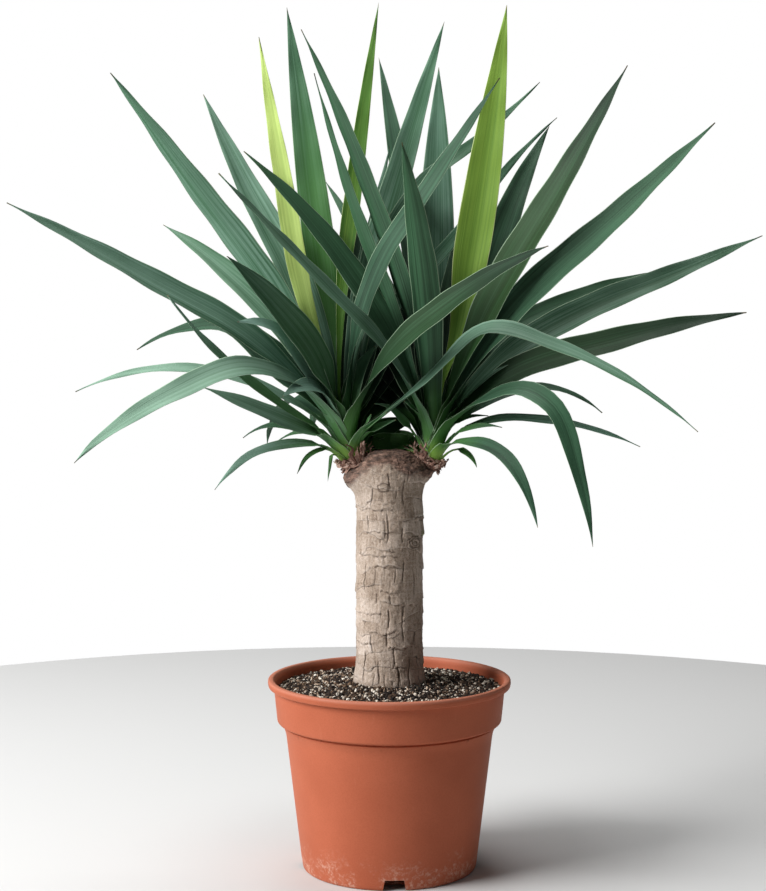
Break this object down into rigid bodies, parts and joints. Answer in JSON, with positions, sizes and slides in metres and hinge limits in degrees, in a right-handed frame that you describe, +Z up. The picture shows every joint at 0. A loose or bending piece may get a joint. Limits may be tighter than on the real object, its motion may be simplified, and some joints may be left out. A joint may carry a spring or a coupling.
{
  "type": "potted yucca",
  "caption": "Indoor yucca: a thick cut cane with two heads of long sword-shaped leaves, standing in soil in a round plastic nursery pot.",
  "frame": {"origin": "centre of the flat disc under the pot, on the surface that the pot stands on", "axes": "+Z up along the cane, -Y towards the plant's front, +X to the right seen from the front"},
  "size_m": [0.5752, 0.3835, 0.6912],
  "materials": {
    "pot_plastic": "terracotta-coloured moulded plastic, satin, with faint lime stains near the base",
    "potting_soil": "dark moist potting soil with white perlite and bits of bark",
    "bark": "grey-tan bark in cracked, overlapping plates",
    "green_leaf": "leathery blue-green blades with fine lengthwise lines and pale margins",
    "young_leaf": "young leaves, yellow-green and smooth",
    "dry_leaf_base": "dry brown papery leaf bases"
  },
  "bodies": {
    "root": {"pot": "pot_plastic", "soil": "potting_soil", "cane": "bark", "left_head": "green_leaf", "right_head": "green_leaf", "left_young_leaves": "young_leaf", "right_young_leaves": "young_leaf", "left_dry_scales": "dry_leaf_base", "right_dry_scales": "dry_leaf_base"}
  },
  "joints": []
}
